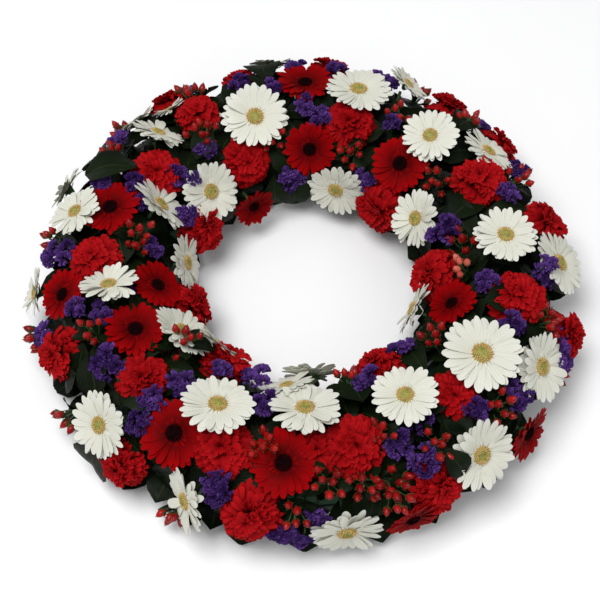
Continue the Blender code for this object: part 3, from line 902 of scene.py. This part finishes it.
def plant_leaves():
    """Bed of leaves between the flowers, in sectors, and the collars at the outer and inner foot."""
    sectors = [[] for _ in range(LEAF_SECTORS)]
    for i in range(BED_LEAVES):
        clock = 360.0 * i / BED_LEAVES + chance.uniform(-4, 4)
        section = -BED_SECTION + 2 * BED_SECTION * ((i * GOLDEN_SHARE) % 1.0)
        share = chance.uniform(0.58, 0.80)
        point, facing = bloom_point(clock, section, 0.0, share)
        heading = chance.uniform(0, FULL_TURN)
        east = facing.cross(Vector((0, 0, 1))).normalized() if abs(facing.z) < 0.99 else Vector((1, 0, 0))
        north = facing.cross(east)
        direction = (east * math.cos(heading) + north * math.sin(heading) + facing * 0.28).normalized()
        length = chance.uniform(0.046, 0.066)
        root = point - direction * length * 0.45
        leaf = leaf_at(root, direction, facing, length, chance.uniform(0.75, 1.05))
        sectors[int(clock % 360 / (360 / LEAF_SECTORS))].append(leaf)
    for clock, section, lift, heading, length, width in SHOWN_LEAVES:
        point, facing = bloom_point(clock, section, lift / 1000, SHOWN_SHARE)
        along = outward(clock + 90, math.pi / 2)
        slope = facing.cross(along).normalized()
        turned = math.radians(heading)
        direction = (slope * math.cos(turned) + along * math.sin(turned) + facing * 0.12).normalized()
        root = point - direction * length / 2000
        if lift < SUNK_LEAF:
            root = clear_of_heads(root, direction * length / 1000, facing)
        leaf = leaf_at(root, direction, facing, length / 1000, width)
        sectors[int(clock % 360 / (360 / LEAF_SECTORS))].append(leaf)
    for number, pieces in enumerate(sectors, 1):
        ride_in(join(pieces, f"bed_leaves_{number:02d}"), "leaf_bed" if number == 1 else None)
    collars = (("outer_leaves", FOOT_LEAVES, FOAM_OUTER + 0.001, 1, 0.046),
               ("inner_leaves", HOLE_LEAVES, FOAM_INNER - 0.001, -1, 0.036))
    for node, count, radius, way, length in collars:
        pieces = []
        for i in range(count):
            clock = 360.0 * (i + chance.uniform(-0.2, 0.2)) / count
            flat = outward(clock, math.pi / 2)
            for drop, root_z, size in ((-0.28, 0.026, 1.0), (0.10, 0.034, 0.9)):
                direction = (flat * way + Vector((0, 0, drop))).normalized()
                clock += 180.0 / count if drop > 0 else 0.0
                root = outward(clock, math.pi / 2) * radius + Vector((0, 0, root_z))
                pieces.append(leaf_at(root, direction, Vector((0, 0, 1)), length * size, 1.05))
        ride_in(join(pieces, node + "_cut"), node)


def make_camera():
    """Camera at the photograph's angle, fixed, with a small shift for its framing."""
    data = bpy.data.cameras.new("camera")
    data.sensor_width = 36.0
    data.lens = PIXELS_PER_METRE * VIEW_DISTANCE * data.sensor_width / IMAGE_SIZE
    data.shift_x = (IMAGE_SIZE / 2 - ORIGIN_PIXEL[0]) / IMAGE_SIZE
    data.shift_y = (ORIGIN_PIXEL[1] - IMAGE_SIZE / 2) / IMAGE_SIZE
    camera = bpy.data.objects.new("camera", data)
    camera.location = (0.0, -VIEW_DISTANCE * math.cos(VIEW_ELEVATION),
                       VIEW_DISTANCE * math.sin(VIEW_ELEVATION))
    camera.rotation_euler = (math.pi / 2 - VIEW_ELEVATION, 0.0, 0.0)
    bpy.context.scene.collection.objects.link(camera)
    bpy.context.scene.camera = camera


def make_light(name, place, size, power):
    """Square lamp turned towards the wreath."""
    data = bpy.data.lights.new(name, "AREA")
    data.size = size
    data.energy = power
    lamp = bpy.data.objects.new(name, data)
    lamp.location = place
    lamp.rotation_euler = (Vector(LIT_POINT) - Vector(place)).to_track_quat("-Z", "Y").to_euler()
    bpy.context.scene.collection.objects.link(lamp)


def make_stage():
    """Pale floor, even sky and two soft lamps."""
    deselect_all()
    bpy.ops.mesh.primitive_plane_add(size=8.0, location=(0.0, 0.0, -0.0004))
    floor = finish_shape(bpy.context.object, "floor", "floor")
    floor.data.transform(Matrix.Translation(floor.location))
    floor.location = ORIGIN
    world = bpy.data.worlds.new("sky")
    world.use_nodes = True
    world.node_tree.nodes["Background"].inputs[0].default_value = (0.97, 0.98, 1.0, 1.0)
    world.node_tree.nodes["Background"].inputs[1].default_value = 0.46
    bpy.context.scene.world = world
    make_light("sky_window", (-0.5, -0.3, 2.2), size=1.1, power=42.0)
    make_light("fill", (1.2, -1.4, 1.2), size=1.4, power=6.0)
    bpy.context.scene.view_settings.view_transform = "Standard"


make_camera()
make_stage()

# Model flowers
leaves = leaf_models()
white_petals = gerbera_petals("white", "white_back", "white")
scarlet_petals = gerbera_petals("scarlet", "scarlet_back", "scarlet")
white_small = small_petal("white", "white_back", "white_small")
scarlet_small = small_petal("scarlet", "scarlet_back", "scarlet_small")
fans = carnation_petals()
whites = [gerbera(f"white_model_{i}", white_petals, white_small, ("green_floret", "yellow_floret"), 0.24,
                  20 + i, rise, loose) for i, (rise, loose) in enumerate(WHITE_MODELS)]
reds = [gerbera(f"red_model_{i}", scarlet_petals, scarlet_small, ("dark_floret", "wine_floret"), 0.22,
                30 + i, rise, loose) for i, (rise, loose) in enumerate(RED_MODELS)]
carnations = [carnation(f"carnation_model_{i}", fans, 40 + i) for i in range(3)]
patches = [statice_patch(f"statice_model_{i}", 50 + i) for i in range(4)]
red_berry = berry_model("berry")
coral = berry_model("coral_berry")
sprays = [berry_spray(f"spray_model_{i}", 60 + i, red_berry, 5 + i, 0.014 + 0.001 * i) for i in range(3)]
coral_spray = berry_spray("coral_model", 70, coral, 5, 0.011)
models = (white_petals + scarlet_petals + fans + whites + reds + carnations + patches + sprays + leaves
          + [white_small, scarlet_small, red_berry, coral, coral_spray])

# Further heads: clock, section, radius and lift in mm, lean outwards and lean along the clock
MORE_WHITES = (
    (27, 38, 26, 0, 8, 25), (177, -62, 30, -2, -25, 0), (187, -40, 27, -4, -10, 20), (223, -60, 29, -2, -15, 0),
    (291, -26, 32, 0, -20, 34), (315, 48, 22, -4, 14, 0), (322, 34, 20, -8, 20, 0), (282, 31, 30, 0, 0, 0))
MORE_REDS = ((2, -44, 29, -4, -6, 0), (159, 78, 28, 0, 12, 0), (329, -82, 24, 4, 0, 0))
MORE_CARNATIONS = (
    (16, -18, 27, -14, 0, 0), (200, 20, 28, -14, 0, 0), (177, 12, 23, -20, 0, 0), (152, 64, 27, -12, 0, 0),
    (42, -78, 28, -8, 0, 0), (94, -56, 27, -10, 0, 0), (298, -70, 26, -8, 0, 0), (252, -72, 25, -8, 0, 0),
    (215, -56, 26, -12, 0, 0), (148, -54, 24, -12, 0, 0), (327, 12, 23, -12, 0, 0), (343, 44, 20, -14, 0, 0),
    (106, 68, 25, -8, 0, 0), (6, 66, 25, -12, 0, 0), (52, 74, 25, -12, 0, 0))
# Statice: clock, section, share of the model size
STATICE = (
    (307, 42, 1.0), (342, 25, 1.0), (351, 12, 0.9), (321, -22, 1.0), (306, -32, 1.0), (297, -52, 1.1),
    (292, 22, 1.0), (294, -2, 1.0), (289, -10, 0.9), (272, 50, 1.1), (271, 30, 1.0), (273, -32, 0.9),
    (255, -26, 1.35), (254, 22, 1.0), (250, 10, 1.0), (253, 66, 1.0), (237, 20, 1.35), (218, -5, 1.1),
    (212, -33, 1.0), (199, -50, 1.2), (192, -18, 1.1), (222, 14, 1.0), (221, 35, 1.0), (199, 38, 1.1),
    (198, 52, 1.0), (185, 75, 1.1), (180, 85, 1.0), (177, 68, 1.0), (164, 19, 1.0), (157, 20, 1.1),
    (149, 10, 1.0), (138, 22, 1.0), (156, -35, 1.2), (137, -52, 1.1), (127, 42, 1.3), (112, 62, 1.35),
    (113, 15, 1.1), (101, -9, 1.0), (77, -38, 1.45), (94, 38, 1.2), (71, 16, 1.0), (64, 42, 1.1),
    (86, 72, 1.0), (23, 42, 1.0), (30, -8, 0.9), (7, -18, 1.0), (0, -7, 1.0), (18, -30, 0.7),
    (352, -68, 1.2), (32, -62, 1.1), (357, 45, 1.0), (8, 45, 1.0), (141, 88, 0.9), (330, 70, 1.2),
    (18, 74, 1.2), (345, 78, 1.1), (45, 80, 1.1))
# Statice that lies over the petals of a gerbera: clock, section, share of the model size, lift in mm
STATICE_OVER = ((94, 30, 0.8, 6), (308, -34, 0.6, 6))
# Hypericum: clock, section, lift in mm, model; model 3 is the coral spray
HYPERICUM = (
    (326, 0, 0, 0), (329, 38, 2, 1), (320, -2, 0, 2), (302, 36, 0, 1), (354, -38, 0, 2), (281, -14, 0, 1),
    (273, -20, 0, 0), (255, 78, 8, 1), (246, 15, 2, 0), (241, 0, 0, 1), (231, -34, 6, 0), (237, 86, 6, 0),
    (215, 38, 2, 1), (195, 10, 0, 1), (182, 60, 0, 0), (176, 32, 4, 2), (168, 40, 4, 2), (161, 56, 6, 2),
    (147, 38, 4, 2), (160, 5, 0, 0), (131, 30, 2, 2), (127, -28, 2, 1), (166, -50, 2, 0), (30, 2, 2, 0),
    (20, -46, 0, 1), (52, -28, 0, 2), (98, -32, 4, 3), (46, 36, 6, 0), (66, 38, 2, 1), (107, 38, 3, 2),
    (5, 56, 3, 0), (112, 84, 0, 0), (206, 88, 0, 1), (277, 56, 2, 0), (312, 76, 4, 1), (28, 78, 3, 2),
    (228, -28, 15, 0))
# Leaves that show: clock, section, lift in mm, heading from straight down the slope, length in mm, width
SHOWN_LEAVES = (
    (296, 20, 6, -26, 60, 1.15), (229, 74, 2, 0, 66, 1.4), (226, 88, 7, 14, 50, 1.4),
    (210, 66, 0, 5, 54, 1.1), (238, 34, 1, -58, 52, 1.0), (196, 78, 0, 0, 42, 0.8),
    (185, 84, 0, 0, 42, 0.8), (192, 22, 0, -12, 64, 0.9), (144, 18, 2, 196, 40, 0.75),
    (148, 46, 9, -14, 36, 0.75), (132, 52, 1, 20, 46, 1.0), (162, -34, 2, 180, 50, 1.1),
    (267, -10, 0, -164, 40, 0.6), (267, 14, -2, 4, 40, 0.5), (322, -16, -1, -122, 44, 0.7),
    (344, -54, -3, 200, 60, 0.9), (52, 6, 2, 200, 46, 1.0), (352, 22, 1, 0, 46, 1.1),
    (88, -50, 1, 180, 46, 1.0), (124, -44, 1, 180, 46, 1.0), (86, 30, 1, 60, 46, 1.0),
    (166, 56, 0, 10, 50, 1.1), (224, -36, 6, -134, 30, 0.6), (46, 30, 0, 0, 46, 1.0),
    (320, -82, 0, 180, 44, 1.0), (331, -84, 1, 175, 44, 1.1), (343, -84, 0, 185, 44, 1.1),
    (354, -84, 1, 180, 44, 1.0), (6, -84, 0, 180, 42, 1.0), (18, -84, 1, 178, 42, 1.0),
    (30, -84, 0, 184, 42, 1.0), (306, 44, -6, 30, 52, 1.1), (311, 38, -4, -60, 48, 1.0),
    (302, 62, -4, 0, 52, 1.1), (314, 62, -4, 10, 52, 1.1), (342, 58, -4, 0, 50, 1.1),
    (350, 62, -4, 0, 50, 1.1), (334, 60, -4, 0, 50, 1.0), (325, 62, -4, 0, 50, 1.0),
    (358, 56, -4, 0, 46, 1.0), (349, 36, 3, 0, 44, 1.2), (348, 24, -1, 0, 36, 0.9),
    (312, 48, -1, 0, 44, 1.2))
# White gerberas whose petals stand loose and uneven
LOOSE_WHITES = (4, 6, 9, 14, 15, 17, 20, 21, 23, 25, 26)

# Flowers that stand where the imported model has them
KINDS = {"white_gerbera": (whites, GERBERA_RADIUS, GERBERA_STEM, "petals_white"),
         "red_gerbera": (reds, GERBERA_RADIUS, GERBERA_STEM, "petals_scarlet"),
         "carnation": (carnations, CARNATION_RADIUS, CARNATION_STEM, "petals_carnation")}
heads = []
chance.seed(5)
for node in sorted(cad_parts):
    kind = KINDS.get(node.rsplit("_", 1)[0])
    if kind:
        masters, model_radius, stem_radius, slot = kind
        if masters is whites:
            masters = whites[2:] if int(node[-2:]) in LOOSE_WHITES else whites[:2]
        middle, axis, radius, foot = head_of(node)
        put_head(chance.choice(masters), node + "_bloom", middle, axis, radius / model_radius, foot,
                 stem_radius, node)
for node, model, slot in (("statice_01", patches[0], "statice"), ("statice_02", patches[1], "statice"),
                          ("hypericum_01", sprays[2], "berries"), ("hypericum_02", sprays[1], "berries")):
    points = node_points(node)
    foot = Vector(points[points[:, 2].argsort()[:FOOT_POINTS]].mean(axis=0))
    middle = Vector(points[points[:, 2].argsort()[-TOP_POINTS:]].mean(axis=0))
    put_sprig(model, node + "_bloom", middle, (middle - foot).normalized(), 1.2, node)

# Flowers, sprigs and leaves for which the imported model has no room
more_heads(MORE_WHITES, whites[1:], "white_more", GERBERA_RADIUS, GERBERA_STEM)
more_heads(MORE_REDS, reds, "red_more", GERBERA_RADIUS, GERBERA_STEM)
more_heads(MORE_CARNATIONS, carnations, "carnation_more", CARNATION_RADIUS,
           CARNATION_STEM)
for number, (clock, section, size) in enumerate(STATICE, 1):
    point, facing = bloom_point(clock, section, -SPRIG_SINK)
    point = beside_heads(point, STATICE_ROOM * size)
    put_sprig(chance.choice(patches), f"statice_more_{number:02d}", point, facing, size)
for number, (clock, section, size, lift) in enumerate(STATICE_OVER, len(STATICE) + 1):
    point, facing = bloom_point(clock, section, lift / 1000)
    put_sprig(chance.choice(patches), f"statice_more_{number:02d}", point, facing, size)
for number, (clock, section, lift, model) in enumerate(HYPERICUM, 1):
    point, facing = bloom_point(clock, section, lift / 1000)
    if lift < OVER_HEADS:
        point = beside_heads(point, BERRY_ROOM)
    spray = coral_spray if model == 3 else sprays[model]
    put_sprig(spray, f"hypericum_more_{number:02d}", point, facing, 1.0)
plant_leaves()

for node, skin in (("foam_ring", "foam"), ("base_tray", "tray")):
    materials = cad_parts[node].data.materials
    materials.clear()
    materials.append(finishes[skin])

discard(models)
